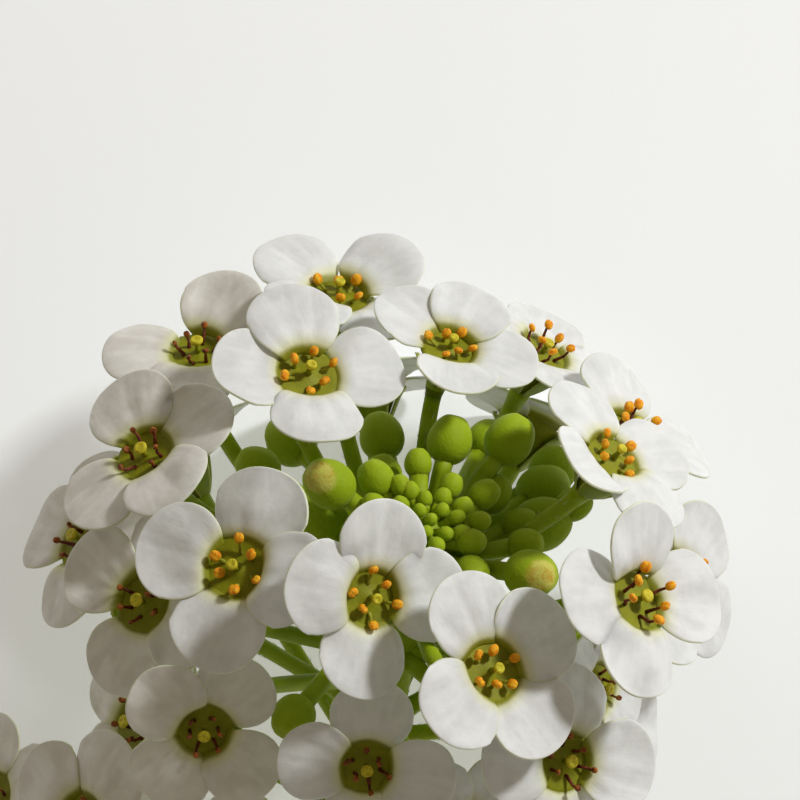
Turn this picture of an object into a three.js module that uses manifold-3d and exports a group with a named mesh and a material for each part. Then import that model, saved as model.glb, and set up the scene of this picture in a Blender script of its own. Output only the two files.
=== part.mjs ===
// A picked head of sweet alyssum, lying on its lowest petals and its stem.
// Units are millimetres, +Z is up, and the origin is under the middle of the whole sprig, on the surface.
//
// The head is laid out in a frame of its own: its Z is the head's axis, z = 0 is the level of the topmost whorl of
// flowers, and "drop" is a depth below that level. One matrix then leans that frame over.
// Each flower is a white corolla of four petals in one solid, a heart of pistil and stamens in another, and a green
// calyx and pedicel that are part of the stem.

import * as THREE from "three";
import { mergeVertices } from "three/addons/utils/BufferGeometryUtils.js";
import Module from "manifold-3d";

const wasm = await Module();
wasm.setup();

// ---- Driving dimensions -------------------------------------------------------------------------------------------

const HEAD_LEAN = 41; // degrees that the head's axis leans over from upright
const HEAD_TURN = -12; // degrees that the lean is turned about the vertical
const HEAD_AT = [3.33, 9.53, 13.4]; // the middle of the topmost whorl

const PETAL_THICK = 0.6;
const PETAL_ROOT = 0.5; // distance from the flower's middle at which a petal starts to rise
const PETAL_CORNER = 1.5; // the same, of the corner where two petals part
const PETAL_APART = 0.04; // how far a petal's side stays from the middle of the gap to its neighbour
// Distance from the flower's middle and half width of a petal: a nearly round blade.
const PETAL_ROWS = [
  [1.5, 1.3],
  [2.15, 1.48],
  [2.76, 0.94],
];
const PETAL_TIP = 3.0; // the rounded end's furthest point
const PETAL_DROOP = 0.05; // the blade bends down by this times its length squared, per mm

const HEART_FOOT = 0.42; // underside of the heart, just clear of the petals
const HEART_PROFILE = [
  [0, HEART_FOOT],
  [0.46, HEART_FOOT],
  [0.62, 0.64],
  [0, 0.8],
];
const PISTIL_PROFILE = [
  [0, 0.5],
  [0.24, 0.6],
  [0.17, 1.2],
  [0, 1.28],
];
const STAMEN_RING = 0.44; // distance of a stamen's foot from the middle
const STAMEN_FOOT = 0.62; // height of that foot, inside the cushion
const STAMEN_PROFILE = [
  [0, 0],
  [0.08, 0],
  [0.18, 0.4],
  [0, 0.66],
];
const STAMEN_SPLAY = 28; // degrees that a stamen leans outwards
const STAMEN_TURNS = [35, 90, 145, 215, 270, 325]; // four long stamens and two shorter ones at the sides

const CALYX_TOP = -0.64;
const CALYX_FOOT = -1.8;
const CALYX_FOOT_RADIUS = 0.3;
const SEPAL_REACH = 1.2; // from the flower's middle to a sepal's tip
const SEPAL_NOTCH = 0.55; // the same, between two sepals
const PEDICEL_RADIUS = 0.26;
const PEDICEL_KNEE = 0.25; // how far a pedicel runs straight out of its calyx, as a share of its length
const STEM_RADIUS = 0.6;
const STEM_TOP = 5.0; // drop at which the stem ends under the buds
const STEM_REST = 0.612; // height of the stem's middle where it lies
const STEM_BEND_FROM = 9.6; // drop at which the stem starts to bend down to the surface
const STEM_LIES = 9; // length of stem that lies on the surface

const BUD_STALK = 0.24;
const SMALL_BUDS = 17; // the youngest buds, in a spiral at the very tip
const GOLDEN_ANGLE = 137.5;

// Flowers: azimuth about the head's axis, distance from it and drop of the flower's middle, then its lean away from the
// axis, the turn of that lean from straight outwards, the turns of its four petals, how far all or each of them rise, and
// its size where it isn't full grown.
const cross = (turn, pair = 84) => [
  turn - pair / 2,
  turn + pair / 2,
  turn + 180 - pair / 2,
  turn + 180 + pair / 2,
];
const FLOWERS = [
  // the topmost whorl, round the buds
  { at: [147, 5.3, -0.4], lean: 7, swing: 173, turns: [50, 140, 234, 331], rise: [13, 18, 11, 13] },
  { at: [94, 5.5, 0], lean: 10, swing: -45, turns: [62, 186, 265, 344], rise: [13, 18, 16, 13], size: 0.9 },
  { at: [73, 8.6, 2.4], lean: 25, swing: -22, turns: [14, 104, 210, 290], rise: [6, 6, 18, 0], size: 0.93 },
  { at: [21, 5.5, -0.6], lean: 27, swing: 3, turns: [20, 118, 212, 294], rise: [14, 8, 20, 10], size: 0.96 },
  { at: [-29, 7.5, -1], lean: 34, swing: 18, turns: [63, 162, 240, 318], rise: [16, 40, 10, 2] },
  { at: [-67, 7, 0.2], lean: 32, swing: 27, turns: [43, 130, 208, 311], rise: [13, 12, 16, 13] },
  { at: [-103, 5.2, -0.2], lean: 44, swing: 52, turns: [34, 136, 217, 301], rise: [12, 15, 14, 13], size: 0.98 },
  { at: [-141, 6.8, 0.7], lean: 33, swing: 14, turns: [46, 132, 216, 312], rise: [8, 18, 14, 16], size: 1.04 },
  // the second whorl
  { at: [117, 9.1, 1.6], lean: 16, swing: -11, turns: [31, 125, 205, 288], rise: [20, 18, 11, 25] },
  { at: [145, 9.8, 2.8], lean: 15, swing: 13, turns: [42, 124, 204, 283], rise: [8, 6, 6, 28], size: 0.98 },
  { at: [178, 8.8, 1.9], lean: 30, swing: 22, turns: [56, 136, 216, 298], rise: [10, 18, 8, 12] },
  { at: [-154, 8.8, 3.7], lean: 46, swing: 23, turns: [56, 136, 226, 310], rise: [5, 5, 4, 5], size: 0.98 },
  { at: [-125, 9.1, 4.7], lean: 62, swing: 42, turns: [32, 117, 214, 296], rise: [8, 12, 9, 12], size: 0.89 },
  { at: [-92, 8, 4], lean: 58, swing: 10, turns: [22, 104, 200, 286], rise: [10, 12, 0, 8], size: 0.89 },
  { at: [-51, 8.7, 3.3], lean: 44, swing: 8, turns: [-12, 72, 168, 252], rise: [4, 18, 10, 6], size: 0.97 },
  { at: [-27, 6.9, 4.1], lean: 62, swing: 4, turns: [-44, 38, 138, 222], rise: [-4, 4, 14, 14], size: 0.86 },
  { at: [11, 8.1, 4], lean: 46, swing: -27, turns: [-30, 58, 158, 252], rise: [4, 12, 4, 12], size: 0.94 },
  { at: [42, 7.6, 1.7], lean: 28, swing: -2, turns: [-25, 77, 160, 242], rise: [6, 19, 9, 6], size: 0.98 },
  // the oldest flowers, lowest on the stem
  { at: [-179, 10.3, 6], lean: 51, swing: 12, turns: [-26, 96, 176, 255], rise: 4 },
  { at: [-159, 8.1, 11], lean: 60, swing: 2, turns: cross(56, 86), rise: 6 },
  { at: [-135, 11.8, 9.2], lean: 60, swing: -5, turns: cross(45, 86), rise: 9 },
  { at: [107, 9.2, 6.2], lean: 60, swing: 4, turns: cross(0, 86), rise: 8 },
  { at: [73, 9.2, 6.3], lean: 60, swing: 3, turns: cross(0, 86), rise: 8 },
  { at: [144, 10.3, 8.4], lean: 63, swing: -3, turns: cross(0, 86), rise: 7 },
  { at: [33, 9.2, 6.8], lean: 64, swing: 0, turns: cross(0, 86), rise: 8 },
  { at: [-12, 7.2, 8.2], lean: 64, swing: -1, turns: cross(0, 86), rise: 7 },
  { at: [-68, 7.9, 7], lean: 62, swing: 2, turns: cross(0, 86), rise: 9, size: 0.95 },
  { at: [-106, 9, 9.6], lean: 62, swing: 0, turns: cross(0, 86), rise: 8 },
  { at: [-158, 12.4, 14], lean: 56, swing: 4, turns: cross(30, 86), rise: 9, size: 0.92 },
];

// Larger buds: azimuth, distance from the axis and drop of the bud's middle, and its diameter.
const BUDS = [
  [171, 3.2, 1.7, 1.5],
  [145, 2.2, 1.9, 1.1],
  [106, 2.3, 1.9, 0.85],
  [87, 3.5, 2.0, 1.4],
  [63, 4.4, 1.9, 1.5],
  [45, 2.2, 1.9, 0.9],
  [-16, 1.5, 1.9, 0.85],
  [-38, 2.1, 2.2, 1.0],
  [5, 3.1, 2.3, 1.0],
  [-19, 3.6, 1.9, 1.5],
  // a ring of small ones inside them
  [133, 1.5, 1.8, 0.65],
  [72, 1.6, 1.8, 0.75],
  [13, 1.6, 1.8, 0.65],
  [-72, 1.7, 2.0, 0.75],
  [-112, 1.7, 2.0, 0.75],
  [-152, 1.8, 2.0, 0.75],
  [172, 1.7, 1.9, 0.7],
  // a deeper layer, seen between the others
  [115, 4.5, 3.2, 1.4],
  [76, 5.5, 3.8, 1.25],
  [36, 5.4, 3.4, 1.05],
  [31, 3.3, 3.2, 1.1],
  [56, 3.2, 3.1, 1.2],
  [122, 3.0, 3.1, 1.1],
  [-62, 2.9, 3.1, 1.1],
  [-104, 2.7, 3.1, 1.1],
  [-146, 3.0, 3.1, 1.1],
  // the deepest ones, on long stalks in the gaps between the flowers
  [132, 7.0, 5.6, 1.6],
  [157, 5.9, 3.8, 1.3],
  [52, 5.5, 4.4, 1.6],
  [58, 6.8, 5.0, 1.5],
  [35, 4.3, 3.8, 1.7],
  [167, 3.3, 3.8, 1.6],
  [-113, 7.0, 4.4, 1.3],
  [-13, 5.5, 4.4, 1.5],
];

const GREEN = { color: 0x6f8a1c, roughness: 0.55, metalness: 0 };
const BUD_GREEN = { color: 0x87a53a, roughness: 0.5, metalness: 0 };
const WHITE = { color: 0xeceee8, roughness: 0.6, metalness: 0 };
const YELLOW = { color: 0xc99a17, roughness: 0.6, metalness: 0 };

// ---- Small helpers ------------------------------------------------------------------------------------------------

const rad = THREE.MathUtils.degToRad;
const vec = (x, y, z) => new THREE.Vector3(x, y, z);

// The head's frame in the part's frame.
const headFrame = new THREE.Matrix4()
  .makeRotationFromEuler(new THREE.Euler(-rad(HEAD_LEAN), 0, rad(HEAD_TURN), "ZYX"))
  .setPosition(...HEAD_AT);

// A point of the head, from its azimuth, distance from the axis and drop, in the part's frame.
function headPoint(azimuth, reach, drop) {
  const a = rad(azimuth);
  return vec(reach * Math.cos(a), reach * Math.sin(a), -drop).applyMatrix4(headFrame);
}

// A direction of the head, leaning away from the axis towards an azimuth, in the part's frame.
function headDirection(azimuth, lean) {
  const a = rad(azimuth);
  const l = rad(lean);
  return vec(Math.sin(l) * Math.cos(a), Math.sin(l) * Math.sin(a), Math.cos(l)).transformDirection(headFrame);
}

// The frame of a flower or bud: Z faces out of it and X is the nearest direction to the head's outside.
function facingFrame(point, facing, azimuth) {
  const outward = headDirection(azimuth, 90);
  const x = outward.addScaledVector(facing, -outward.dot(facing)).normalize();
  const y = facing.clone().cross(x);
  return new THREE.Matrix4().makeBasis(x, y, facing).setPosition(point);
}

// A closed geometry as a manifold-3d solid.
function solid(geometry) {
  const bare = geometry.clone();
  bare.deleteAttribute("normal");
  bare.deleteAttribute("uv");
  const merged = mergeVertices(bare, 1e-4);
  return new wasm.Manifold(
    new wasm.Mesh({
      numProp: 3,
      vertProperties: new Float32Array(merged.attributes.position.array),
      triVerts: new Uint32Array(merged.index.array),
    }),
  );
}

// Several closed geometries joined into one.
function joined(geometries) {
  const whole = geometries.map(solid).reduce((sum, next) => sum.add(next));
  const mesh = whole.getMesh();
  const geometry = new THREE.BufferGeometry();
  geometry.setAttribute("position", new THREE.BufferAttribute(mesh.vertProperties, 3));
  geometry.setIndex(new THREE.BufferAttribute(mesh.triVerts, 1));
  geometry.computeVertexNormals();
  return geometry;
}

// A body turned about Z from a profile of [radius, height] that starts and ends on the axis.
function turned(profile, sides) {
  return new THREE.LatheGeometry(
    profile.map(([r, z]) => new THREE.Vector2(r, z)),
    sides,
  ).rotateX(Math.PI / 2);
}

// A tube of a given radius along a curve.
function tube(curve, radius, sides, steps) {
  const section = new THREE.Shape(
    Array.from({ length: sides }, (_, i) => {
      const a = (2 * Math.PI * (i + 0.5)) / sides;
      return new THREE.Vector2(radius * Math.cos(a), radius * Math.sin(a));
    }),
  );
  return new THREE.ExtrudeGeometry(section, { steps, extrudePath: curve, bevelEnabled: false });
}

function named(name, geometry, look) {
  const mesh = new THREE.Mesh(geometry, new THREE.MeshStandardMaterial(look));
  mesh.name = name;
  return mesh;
}

// ---- The flower ---------------------------------------------------------------------------------------------------

// The white corolla: four petals that run together round the flower's middle. It is one sheet, an upper and a lower face
// split into triangles alike, with a wall along the edge.
function corolla({ turns, rise, size = 1 }) {
  const points = []; // the sheet's middle points, as [x, y, z, normal x, normal y, normal z]
  const add = (i, reach, y) => {
    const up = rad(Array.isArray(rise) ? rise[i] : rise);
    const along = Math.max(reach - PETAL_ROOT, 0);
    const droop = PETAL_DROOP * along ** 2;
    const x = Math.min(reach, PETAL_ROOT) + along * Math.cos(up) + droop * Math.sin(up);
    const z = along * Math.sin(up) - droop * Math.cos(up);
    const tilt = along > 0 ? up : 0;
    const [c, s] = [Math.cos(rad(turns[i])), Math.sin(rad(turns[i]))];
    const nx = -Math.sin(tilt);
    points.push([x * c - y * s, x * s + y * c, z, nx * c, nx * s, Math.cos(tilt)]);
    return points.length - 1;
  };
  const faces = []; // triangles of the upper face, counter-clockwise
  const rim = []; // pairs of neighbouring points along the edge, counter-clockwise
  const middle = add(0, 0, 0);
  // Half the gap from each petal to the next one.
  const gaps = turns.map((turn, i) => rad(((((turns[(i + 1) % 4] - turn) % 360) + 360) % 360) / 2));
  const corners = gaps.map((gap, i) => add(i, PETAL_CORNER * Math.cos(gap), PETAL_CORNER * Math.sin(gap)));
  turns.forEach((_, i) => {
    let row = [corners[(i + 3) % 4], add(i, PETAL_ROOT, 0), corners[i]];
    faces.push([middle, row[0], row[1]], [middle, row[1], row[2]]);
    PETAL_ROWS.forEach(([reach, half], k) => {
      const end = k === PETAL_ROWS.length - 1;
      const [right, left] = [(i + 3) % 4, i].map((gap) => Math.min(half, reach * Math.tan(gaps[gap]) - PETAL_APART));
      const next = [add(i, reach, -right), add(i, end ? PETAL_TIP : reach, 0), add(i, reach, left)];
      for (let j = 0; j < 2; j++) {
        faces.push([row[j], next[j], next[j + 1]], [row[j], next[j + 1], row[j + 1]]);
      }
      rim.push([row[0], next[0]], [next[2], row[2]]);
      if (end) rim.push([next[0], next[1]], [next[1], next[2]]);
      row = next;
    });
  });
  const half = PETAL_THICK / 2 / size;
  const face = (side) => points.flatMap(([x, y, z, nx, ny, nz]) => [x + side * nx, y + side * ny, z + side * nz]);
  const under = points.length;
  const index = faces.flatMap(([a, b, c]) => [a, b, c, a + under, c + under, b + under]);
  for (const [a, b] of rim) index.push(a, a + under, b + under, a, b + under, b);
  const geometry = new THREE.BufferGeometry();
  geometry.setAttribute("position", new THREE.Float32BufferAttribute([...face(half), ...face(-half)], 3));
  geometry.setIndex(index);
  geometry.computeVertexNormals();
  return geometry;
}

// The heart: a green cushion with the pistil in its middle and six stamens round it.
function heart() {
  const stamens = STAMEN_TURNS.map((turn, i) => {
    const shorter = i === 1 || i === 4 ? 0.85 : 1;
    return turned(STAMEN_PROFILE, 3)
      .scale(1, 1, shorter)
      .rotateY(rad(STAMEN_SPLAY))
      .translate(STAMEN_RING, 0, STAMEN_FOOT)
      .rotateZ(rad(turn));
  });
  return joined([turned(HEART_PROFILE, 6), turned(PISTIL_PROFILE, 4), ...stamens]);
}

// The calyx: a cup that opens into four sepals, between the petals.
function calyx(turn) {
  const geometry = turned(
    [
      [0, CALYX_FOOT],
      [CALYX_FOOT_RADIUS, CALYX_FOOT],
      [1, CALYX_TOP],
      [0, CALYX_TOP],
    ],
    8,
  );
  const position = geometry.attributes.position;
  for (let i = 0; i < position.count; i++) {
    const reach = Math.hypot(position.getX(i), position.getY(i));
    if (reach < 0.9) continue;
    const sepal = Math.abs(Math.cos(2 * Math.atan2(position.getY(i), position.getX(i)))) > 0.5;
    const size = sepal ? SEPAL_REACH : SEPAL_NOTCH;
    position.setXY(i, (position.getX(i) / reach) * size, (position.getY(i) / reach) * size);
  }
  return geometry.rotateZ(rad(turn));
}

// ---- The stem -----------------------------------------------------------------------------------------------------

// The stem's path: straight down the head's axis, then bent round until it lies on the surface.
function stemPath() {
  const down = headDirection(0, 180);
  const slope = rad(90 - HEAD_LEAN);
  const from = headPoint(0, 0, STEM_BEND_FROM);
  const bend = (from.z - STEM_REST) / (1 - Math.cos(slope));
  const ahead = vec(down.x, down.y, 0).normalize();
  const points = [STEM_TOP, (STEM_TOP + STEM_BEND_FROM) / 2].map((drop) => headPoint(0, 0, drop));
  for (let i = 0; i <= 5; i++) {
    const left = slope * (1 - i / 5);
    const run = bend * (Math.sin(slope) - Math.sin(left));
    points.push(from.clone().addScaledVector(ahead, run).setZ(STEM_REST + bend * (1 - Math.cos(left))));
  }
  const touch = points.at(-1);
  points.push(touch.clone().addScaledVector(ahead, STEM_LIES / 2), touch.clone().addScaledVector(ahead, STEM_LIES));
  return new THREE.CatmullRomCurve3(points, false, "centripetal");
}

// A flower's pedicel leaves its calyx straight and meets the stem further down.
function pedicel(frame, path, rootAt) {
  const top = vec(0, 0, CALYX_FOOT + 0.1).applyMatrix4(frame);
  const root = path.getPointAt(rootAt / path.getLength());
  const knee = vec(0, 0, CALYX_FOOT - PEDICEL_KNEE * top.distanceTo(root)).applyMatrix4(frame);
  return tube(new THREE.QuadraticBezierCurve3(top, knee, root), PEDICEL_RADIUS, 4, 3);
}

// The green stem with every pedicel and calyx.
function stem() {
  const path = stemPath();
  const pieces = [tube(path, STEM_RADIUS, 8, 14)];
  for (const flower of FLOWERS) {
    const [, reach, drop] = flower.at;
    const frame = flowerFrame(flower);
    const sepalTurn = (flower.turns[0] + flower.turns[1]) / 2;
    pieces.push(calyx(sepalTurn).applyMatrix4(frame));
    const rootAt = Math.max(0.5, drop + 0.45 * reach - STEM_TOP + 1);
    pieces.push(pedicel(frame, path, rootAt));
  }
  return joined(pieces);
}

function flowerFrame({ at, lean, swing, size = 1 }) {
  const [azimuth, reach, drop] = at;
  const frame = facingFrame(headPoint(azimuth, reach, drop), headDirection(azimuth + swing, lean), azimuth);
  return frame.scale(vec(size, size, size));
}

// ---- The buds -----------------------------------------------------------------------------------------------------

// Every bud with its place, the large ones first and then the spiral of the youngest.
function budList() {
  const young = Array.from({ length: SMALL_BUDS }, (_, i) => {
    const reach = 0.1 + 0.29 * Math.sqrt(i);
    return [i * GOLDEN_ANGLE, reach, 1.75 + 0.05 * reach, 0.4 + 0.013 * i];
  });
  return [...BUDS, ...young];
}

// The cluster of buds at the head's tip, on short stalks from one core.
function budCluster() {
  const pieces = [
    turned(
      [
        [0, 2.0],
        [0.7, 2.3],
        [0.42, 4.5],
        [0, 4.55],
      ].map(([r, drop]) => [r, -drop]).reverse(),
      8,
    ).applyMatrix4(headFrame),
  ];
  for (const [azimuth, reach, drop, size] of budList()) {
    const middle = headPoint(azimuth, reach, drop);
    const root = headPoint(0, 0, Math.min(4.3, drop + 0.45 * reach + 0.3));
    const facing = middle.clone().sub(root).normalize();
    const frame = facingFrame(middle, facing, azimuth);
    const rings = size > 0.8 ? 4 : 3;
    const body = new THREE.SphereGeometry(size / 2, rings + 2, rings).rotateX(Math.PI / 2).scale(1, 1, 1.12);
    pieces.push(body.applyMatrix4(frame));
    const stalk = new THREE.LineCurve3(root, middle);
    pieces.push(tube(stalk, Math.min(BUD_STALK, size * 0.28), 3, 1));
  }
  return joined(pieces);
}

// ---- The whole head -----------------------------------------------------------------------------------------------

const alyssum = new THREE.Group();
alyssum.add(named("stem", stem(), GREEN));
alyssum.add(named("bud_cluster", budCluster(), BUD_GREEN));
const heartShape = heart();
FLOWERS.forEach((flower, i) => {
  const number = String(i + 1).padStart(2, "0");
  const petals = named(`flower_${number}_petals`, corolla(flower), WHITE);
  const middle = named(`flower_${number}_heart`, heartShape, YELLOW);
  const bloom = new THREE.Group();
  bloom.applyMatrix4(flowerFrame(flower));
  middle.rotation.z = rad((flower.turns[0] + flower.turns[1]) / 2);
  bloom.add(petals, middle);
  alyssum.add(bloom);
});

export default alyssum;
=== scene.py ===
"""A picked head of sweet alyssum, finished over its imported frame.

Every shape is worked out in millimetres and written into its mesh in metres. The head has a frame of its
own: its Z is the head's axis, and a drop is a depth below the topmost whorl of flowers. Each flower has a
frame too: its Z faces out of the flower and its X points away from the head's axis.
"""

import logging
import math
import random
from collections.abc import Callable, Sequence
from dataclasses import dataclass, field
from enum import Enum

import bmesh
import bpy
from bmesh.types import BMesh, BMFace
from mathutils import Matrix, Vector, noise


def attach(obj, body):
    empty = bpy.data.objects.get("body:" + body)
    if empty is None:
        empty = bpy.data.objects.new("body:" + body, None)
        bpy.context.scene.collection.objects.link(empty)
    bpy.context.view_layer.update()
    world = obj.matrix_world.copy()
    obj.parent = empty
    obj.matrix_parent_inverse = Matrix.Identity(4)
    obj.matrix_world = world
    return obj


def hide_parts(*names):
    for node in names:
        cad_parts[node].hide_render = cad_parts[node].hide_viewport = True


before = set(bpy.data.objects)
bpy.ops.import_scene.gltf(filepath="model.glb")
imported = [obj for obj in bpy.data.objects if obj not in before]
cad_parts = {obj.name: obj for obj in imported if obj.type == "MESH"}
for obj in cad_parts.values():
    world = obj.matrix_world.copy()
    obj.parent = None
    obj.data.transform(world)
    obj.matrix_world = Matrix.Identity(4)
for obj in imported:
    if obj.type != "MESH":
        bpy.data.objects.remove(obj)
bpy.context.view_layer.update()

MM = 0.001
# The map that a grid carries, across it and along it.
SHEET_MAP = "Sheet"

Colour = tuple[float, float, float]
# The least and the most of something, or where a change starts and where it ends.
Span = tuple[float, float]
# Radius and height of the points that a round shape is spun from.
Profile = tuple[tuple[float, float], ...]

log = logging.getLogger("alyssum")


# ---- Small tools -----------------------------------------------------------------------------------------


def ease(low: float, high: float, value: float) -> float:
    """Step softly from 0 to 1.

    Args:
        low: Where the step starts.
        high: Where it ends, which may lie below its start.
        value: The place to read.

    Returns:
        A number from 0 to 1.
    """
    t = min(max((value - low) / (high - low), 0.0), 1.0)
    return t * t * (3 - 2 * t)


def dip(value: float, width: float) -> float:
    """A soft bump: 1 where the value is 0, and near 0 a few widths away."""
    return math.exp(-((value / width) ** 2))


def through(rows: Sequence[Sequence[float]], t: float) -> list[float]:
    """Read a smooth curve through evenly spaced rows of numbers.

    Args:
        rows: The rows that the curve goes through.
        t: The place on it, from 0 at the first row to 1 at the last.

    Returns:
        One number for each column.
    """
    place = min(max(t, 0.0), 1.0) * (len(rows) - 1)
    i = min(int(place), len(rows) - 2)
    f = place - i
    before, after = rows[max(i - 1, 0)], rows[min(i + 2, len(rows) - 1)]
    return [
        0.5 * (2 * b + (c - a) * f + (2 * a - 5 * b + 4 * c - d) * f**2 + (3 * b - a - 3 * c + d) * f**3)
        for a, b, c, d in zip(before, rows[i], rows[i + 1], after)
    ]


def aim(point: Vector, facing: Vector, beside: Vector) -> Matrix:
    """Make a frame from the way that it faces.

    Args:
        point: Its origin.
        facing: The direction of its Z.
        beside: A direction that its X lies nearest to.

    Returns:
        The frame's matrix.
    """
    z = facing.normalized()
    x = (beside - z * beside.dot(z)).normalized()
    y = z.cross(x)
    return Matrix.Translation(point) @ Matrix((x, y, z)).transposed().to_4x4()


def turn_about(axis: str, degrees: float) -> Matrix:
    """A turn about X, Y or Z."""
    return Matrix.Rotation(math.radians(degrees), 4, axis)


def show(name: str, data: bpy.types.ID) -> bpy.types.Object:
    """Put a mesh, a lamp or a camera into the scene.

    Args:
        name: The object's name.
        data: What it holds.

    Returns:
        The object.
    """
    shown = bpy.data.objects.new(name, data)
    bpy.context.scene.collection.objects.link(shown)
    return shown


# ---- Shader sums -----------------------------------------------------------------------------------------


class Value:
    """A number that a material works out. Python's own signs add its Math nodes."""

    def __init__(self, paint: "Paint", socket: bpy.types.NodeSocket) -> None:
        """Wrap an output socket of a paint's tree."""
        self.paint, self.socket = paint, socket

    def _math(self, operation: str, *others: "Value | float", back: bool = False) -> "Value":
        """Add one Math node.

        Args:
            operation: What it does.
            others: The other operands.
            back: Whether this value is the last operand and not the first.

        Returns:
            The result.
        """
        operands = [*others, self] if back else [self, *others]
        return self.paint.value("ShaderNodeMath", {"operation": operation}, dict(enumerate(operands)))

    def __add__(self, other: "Value | float") -> "Value":
        """This plus another."""
        return self._math("ADD", other)

    def __mul__(self, other: "Value | float") -> "Value":
        """This times another."""
        return self._math("MULTIPLY", other)

    __radd__, __rmul__ = __add__, __mul__

    def __sub__(self, other: "Value | float") -> "Value":
        """This less another."""
        return self._math("SUBTRACT", other)

    def __rsub__(self, other: "Value | float") -> "Value":
        """Another less this."""
        return self._math("SUBTRACT", other, back=True)

    def __abs__(self) -> "Value":
        """This without its sign."""
        return self._math("ABSOLUTE")

    def most(self, other: "Value | float") -> "Value":
        """The larger of this and another."""
        return self._math("MAXIMUM", other)

    def step(self, low: float, high: float) -> "Value":
        """Step softly from 0 to 1 between two levels.

        Args:
            low: The level where the result is 0.
            high: The level where it is 1, which may be the lower one.

        Returns:
            The stepped value.
        """
        sockets = {"Value": self, "From Min": min(low, high), "From Max": max(low, high)}
        stepped = self.paint.value("ShaderNodeMapRange", {"interpolation_type": "SMOOTHSTEP"}, sockets)
        return 1 - stepped if low > high else stepped


class Paint:
    """One material with its node tree."""

    # The sockets of a Mix node for its two colours and for their mixture.
    FIRST, SECOND, MIXED = 6, 7, 2

    def __init__(self, name: str, **constants: float | Colour) -> None:
        """Start a material.

        Args:
            name: The material's name.
            constants: Values that are the same all over, by the shader's socket names with _ for a space.
        """
        self.material = bpy.data.materials.new(name)
        self.material.use_nodes = True
        self.tree = self.material.node_tree
        self.tree.nodes.clear()
        self.shader = self.tree.nodes.new("ShaderNodeBsdfPrincipled")
        end = self.tree.nodes.new("ShaderNodeOutputMaterial")
        self.tree.links.new(self.shader.outputs["BSDF"], end.inputs["Surface"])
        for key, value in constants.items():
            self.set(self.shader, key.replace("_", " "), value)

    def set(self, node: bpy.types.Node, key: int | str, value: object) -> None:
        """Give one socket its value or link.

        Args:
            node: The node.
            key: The socket's name or number.
            value: A number, a colour, a socket or a Value.
        """
        socket = node.inputs[key]
        if isinstance(value, Value):
            value = value.socket
        if isinstance(value, bpy.types.NodeSocket):
            self.tree.links.new(value, socket)
        elif socket.type == "RGBA":
            socket.default_value = (*value, 1.0)
        else:
            socket.default_value = value

    def node(
        self, kind: str, settings: dict[str, object], sockets: dict[int | str, object]
    ) -> bpy.types.Node:
        """Add a node.

        Args:
            kind: Its type.
            settings: Its own settings, which are set first.
            sockets: Values or links of its inputs.

        Returns:
            The node.
        """
        made = self.tree.nodes.new(kind)
        for key, value in settings.items():
            setattr(made, key, value)
        for key, value in sockets.items():
            self.set(made, key, value)
        return made

    def value(
        self, kind: str, settings: dict[str, object], sockets: dict[int | str, object], output: int | str = 0
    ) -> Value:
        """Add a node and read one of its outputs as a number.

        Args:
            kind: Its type.
            settings: Its own settings.
            sockets: Values or links of its inputs.
            output: The output's name or number.

        Returns:
            The output.
        """
        return Value(self, self.node(kind, settings, sockets).outputs[output])

    def blend(self, factor: Value, low: object, high: object) -> bpy.types.NodeSocket:
        """Mix two colours.

        Args:
            factor: 0 for the first colour and 1 for the second.
            low: The first colour or a link to one.
            high: The second.

        Returns:
            The mixed colour.
        """
        sockets = {"Factor": factor, self.FIRST: low, self.SECOND: high}
        return self.node("ShaderNodeMix", {"data_type": "RGBA"}, sockets).outputs[self.MIXED]

    def sheet(self) -> tuple[Value, Value]:
        """Read the piece's own map.

        Returns:
            The place across the sheet and along it, each from 0 to 1.
        """
        drawn = self.node("ShaderNodeUVMap", {"uv_map": SHEET_MAP}, {}).outputs[0]
        split = self.node("ShaderNodeSeparateXYZ", {}, {0: drawn})
        return Value(self, split.outputs[0]), Value(self, split.outputs[1])

    def margin(self) -> Value:
        """How near a point is to the sheet's sides or tip, from 0 in the middle of its root to 1."""
        across, along = self.sheet()
        return (abs(across - 0.5) * 2).most(along)

    def spots(self, size: float, detail: float = 2.0) -> Value:
        """Cloudy noise from 0 to 1 on the piece's own coordinates.

        Args:
            size: The size of its clouds, in millimetres.
            detail: How many finer layers it has.

        Returns:
            The noise.
        """
        place = self.node("ShaderNodeTexCoord", {}, {}).outputs["Object"]
        sockets = {"Vector": place, "Scale": 1 / (size * MM), "Detail": detail}
        return self.value("ShaderNodeTexNoise", {}, sockets)

    def streaks(self, across: float, along: float, detail: float) -> Value:
        """Noise from 0 to 1 that is drawn out along the piece's own map.

        Args:
            across: How many streaks lie side by side.
            along: How many follow each other.
            detail: How many finer layers the noise has.

        Returns:
            The noise.
        """
        v, u = self.sheet()
        drawn = self.node("ShaderNodeCombineXYZ", {}, {0: v * across, 1: u * along, 2: 0.0}).outputs[0]
        return self.value("ShaderNodeTexNoise", {}, {"Vector": drawn, "Scale": 1.0, "Detail": detail})

    def attribute(self, name: str) -> Value:
        """A number that the mesh carries at its points."""
        return self.value("ShaderNodeAttribute", {"attribute_name": name}, {}, "Fac")

    def relief(self, height: Value, depth: float) -> None:
        """Bump the surface.

        Args:
            height: The relief, from 0 to 1.
            depth: Its depth in millimetres.
        """
        bump = self.node("ShaderNodeBump", {}, {"Strength": 1.0, "Distance": depth * MM, "Height": height})
        self.set(self.shader, "Normal", bump.outputs[0])

    def finish(self, colour: object, roughness: object) -> bpy.types.Material:
        """Set the colour and the roughness.

        Args:
            colour: A colour or a link to one.
            roughness: A number or a Value.

        Returns:
            The material.
        """
        self.set(self.shader, "Base Color", colour)
        self.set(self.shader, "Roughness", roughness)
        return self.material


# ---- Finishes --------------------------------------------------------------------------------------------


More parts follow.
